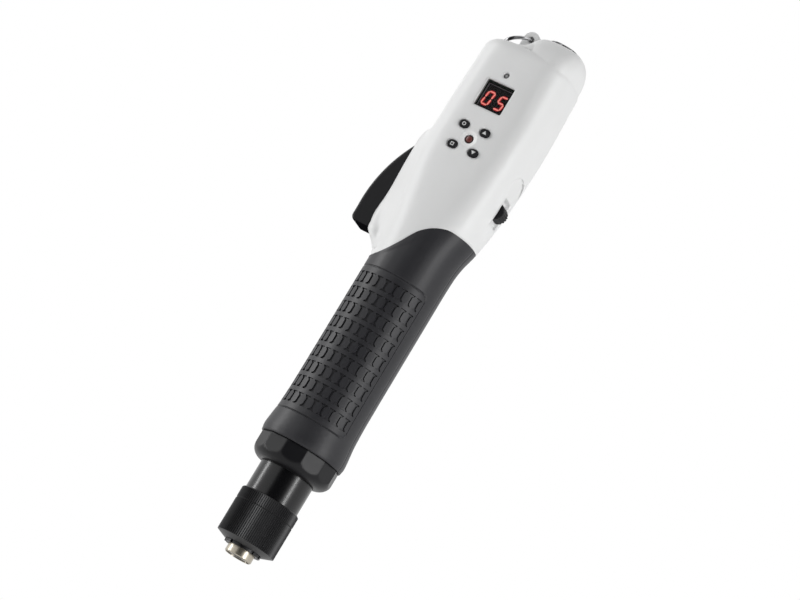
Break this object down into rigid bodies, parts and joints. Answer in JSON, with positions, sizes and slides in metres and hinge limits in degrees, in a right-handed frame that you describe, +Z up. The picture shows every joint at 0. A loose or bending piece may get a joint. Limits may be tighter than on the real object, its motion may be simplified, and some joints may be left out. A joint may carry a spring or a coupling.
{
  "type": "in-line electric screwdriver",
  "caption": "In-line lever-start electric screwdriver with a slotted rubber grip, small display and keypad, knurled torque ring and hexagon bit sleeve.",
  "frame": {"origin": "on the spindle axis at the mouth of the bit sleeve", "axes": "+Z up the spindle axis towards the cable inlet, -Y out of the display, -X out of the start lever"},
  "size_m": [0.0639, 0.042, 0.2805],
  "materials": {
    "white_plastic": "satin moulded",
    "grip_rubber": "soft matte moulded",
    "black_plastic": "semi-gloss moulded",
    "black_metal": "black oxide, polished",
    "nickel": "nickel plated",
    "steel": "ground",
    "spring_steel": "drawn wire",
    "bronze": "plain",
    "motor_metal": "turned",
    "copper": "enamelled winding",
    "magnet": "coated",
    "smoked_window": "smoked, polished",
    "display_face": "matte",
    "red_lens": "diffused",
    "clear_lens": "clear",
    "switch_plastic": "moulded",
    "circuit_board": "solder resist"
  },
  "bodies": {
    "housing": {"housing_front": "white_plastic", "housing_rear": "white_plastic", "grip_front": "grip_rubber", "grip_rear": "grip_rubber", "retaining_nut": "black_plastic", "clutch_tube": "black_metal", "display_window": "smoked_window", "display_module": "display_face", "status_lamp": "red_lens", "ready_lamp": "clear_lens", "hanger_lug": "white_plastic", "connector_barrel": "nickel", "connector_insert": "switch_plastic", "connector_pins": "bronze", "clutch_spring": "spring_steel", "clutch_plate": "steel", "clutch_balls": "steel", "spindle_bush": "bronze", "clutch_ring_gear": "steel", "first_ring_gear": "steel", "gear_case": "motor_metal", "stator_core": "steel", "stator_coils": "copper", "motor_can": "motor_metal", "motor_front_bell": "motor_metal", "motor_rear_bell": "motor_metal", "motor_bearings": "steel", "lever_pin": "steel", "lever_spring": "spring_steel", "start_switch": "switch_plastic", "reverse_switch": "switch_plastic", "display_board": "circuit_board", "control_board": "circuit_board", "housing_screws": "steel"},
    "start_lever": {"start_lever": "black_plastic"},
    "start_plunger": {"start_plunger": "switch_plastic"},
    "reverse_knob": {"reverse_knob": "black_plastic"},
    "mode_button": {"mode_button": "black_plastic"},
    "set_button": {"set_button": "black_plastic"},
    "up_button": {"up_button": "black_plastic"},
    "down_button": {"down_button": "black_plastic"},
    "hanger_ring": {"hanger_ring": "nickel"},
    "spring_seat": {"spring_seat": "steel"},
    "torque_ring": {"torque_ring": "black_metal"},
    "lock_ring": {"lock_ring": "black_metal"},
    "rotor": {"rotor_shaft": "steel", "rotor_magnet": "magnet"},
    "first_carrier": {"first_carrier": "steel"},
    "spindle": {"output_spindle": "steel", "output_carrier": "steel", "bit_ball": "steel", "sleeve_clips": "steel", "sleeve_spring": "spring_steel"},
    "bit_sleeve": {"bit_sleeve": "nickel"},
    "first_planet_1": {"first_planet_1": "steel"},
    "second_planet_1": {"second_planet_1": "steel"},
    "first_planet_2": {"first_planet_2": "steel"},
    "second_planet_2": {"second_planet_2": "steel"},
    "first_planet_3": {"first_planet_3": "steel"},
    "second_planet_3": {"second_planet_3": "steel"}
  },
  "joints": [
    {"name": "lever_press", "type": "hinge", "parent": "housing", "child": "start_lever", "pos_m": [-0.02, 0, 0.2078], "axis": [0, -1, 0], "range_deg": [0, 8], "stiffness_Nm_per_rad": 0.8, "springref_deg": -3.44, "deforming": ["lever_spring"]},
    {"name": "plunger_press", "type": "slide", "parent": "housing", "child": "start_plunger", "axis": [1, 0, 0], "range_m": [0, 0.00136]},
    {"name": "reverse_slide", "type": "slide", "parent": "housing", "child": "reverse_knob", "axis": [0, 0, 1], "range_m": [-0.002, 0.002]},
    {"name": "hanger_swing", "type": "hinge", "parent": "housing", "child": "hanger_ring", "pos_m": [-0.0066, 0, 0.2765], "axis": [0, 1, 0], "range_deg": [0, 165]},
    {"name": "seat_slide", "type": "slide", "parent": "housing", "child": "spring_seat", "axis": [0, 0, 1], "range_m": [-0.003, 0], "deforming": ["clutch_spring"]},
    {"name": "torque_turn", "type": "hinge", "parent": "spring_seat", "child": "torque_ring", "pos_m": [0, 0, 0.014], "axis": [0, 0, 1], "range_deg": [-1080, 0]},
    {"name": "lock_turn", "type": "hinge", "parent": "housing", "child": "lock_ring", "pos_m": [0, 0, 0.0265], "axis": [0, 0, 1], "range_deg": [0, 20]},
    {"name": "rotor_spin", "type": "hinge", "parent": "housing", "child": "rotor", "pos_m": [0, 0, 0.095], "axis": [0, 0, 1], "continuous": true},
    {"name": "first_carrier_spin", "type": "hinge", "parent": "housing", "child": "first_carrier", "pos_m": [0, 0, 0.058], "axis": [0, 0, 1], "continuous": true},
    {"name": "spindle_spin", "type": "hinge", "parent": "housing", "child": "spindle", "pos_m": [0, 0, 0.025], "axis": [0, 0, 1], "continuous": true},
    {"name": "sleeve_slide", "type": "slide", "parent": "spindle", "child": "bit_sleeve", "axis": [0, 0, 1], "range_m": [0, 0.003], "stiffness_N_per_m": 800, "springref_m": -0.003, "deforming": ["sleeve_spring"]},
    {"name": "mode_press", "type": "slide", "parent": "housing", "child": "mode_button", "axis": [0, 1, 0], "range_m": [0, 0.0004], "stiffness_N_per_m": 2500, "springref_m": -0.0001},
    {"name": "set_press", "type": "slide", "parent": "housing", "child": "set_button", "axis": [0, 1, 0], "range_m": [0, 0.0004], "stiffness_N_per_m": 2500, "springref_m": -0.0001},
    {"name": "up_press", "type": "slide", "parent": "housing", "child": "up_button", "axis": [0, 1, 0], "range_m": [0, 0.0004], "stiffness_N_per_m": 2500, "springref_m": -0.0001},
    {"name": "down_press", "type": "slide", "parent": "housing", "child": "down_button", "axis": [0, 1, 0], "range_m": [0, 0.0004], "stiffness_N_per_m": 2500, "springref_m": -0.0001},
    {"name": "first_planet_1_spin", "type": "hinge", "parent": "first_carrier", "child": "first_planet_1", "pos_m": [0.00675, 0, 0.0625], "axis": [0, 0, 1], "continuous": true},
    {"name": "second_planet_1_spin", "type": "hinge", "parent": "spindle", "child": "second_planet_1", "pos_m": [0.00675, 0, 0.0525], "axis": [0, 0, 1], "continuous": true},
    {"name": "first_planet_2_spin", "type": "hinge", "parent": "first_carrier", "child": "first_planet_2", "pos_m": [-0.00337, 0.00585, 0.0625], "axis": [0, 0, 1], "continuous": true},
    {"name": "second_planet_2_spin", "type": "hinge", "parent": "spindle", "child": "second_planet_2", "pos_m": [-0.00337, 0.00585, 0.0525], "axis": [0, 0, 1], "continuous": true},
    {"name": "first_planet_3_spin", "type": "hinge", "parent": "first_carrier", "child": "first_planet_3", "pos_m": [-0.00337, -0.00585, 0.0625], "axis": [0, 0, 1], "continuous": true},
    {"name": "second_planet_3_spin", "type": "hinge", "parent": "spindle", "child": "second_planet_3", "pos_m": [-0.00337, -0.00585, 0.0525], "axis": [0, 0, 1], "continuous": true}
  ],
  "couplings": [
    {"joint": "plunger_press", "follows": "lever_press", "m_per_rad": 0.0096687},
    {"joint": "seat_slide", "follows": "torque_turn", "m_per_rad": 0.00015915},
    {"joint": "first_carrier_spin", "follows": "rotor_spin", "ratio": 0.22222},
    {"joint": "spindle_spin", "follows": "rotor_spin", "ratio": 0.049383},
    {"joint": "first_planet_1_spin", "follows": "rotor_spin", "ratio": -0.62222},
    {"joint": "second_planet_1_spin", "follows": "rotor_spin", "ratio": -0.13827},
    {"joint": "first_planet_2_spin", "follows": "rotor_spin", "ratio": -0.62222},
    {"joint": "second_planet_2_spin", "follows": "rotor_spin", "ratio": -0.13827},
    {"joint": "first_planet_3_spin", "follows": "rotor_spin", "ratio": -0.62222},
    {"joint": "second_planet_3_spin", "follows": "rotor_spin", "ratio": -0.13827}
  ]
}
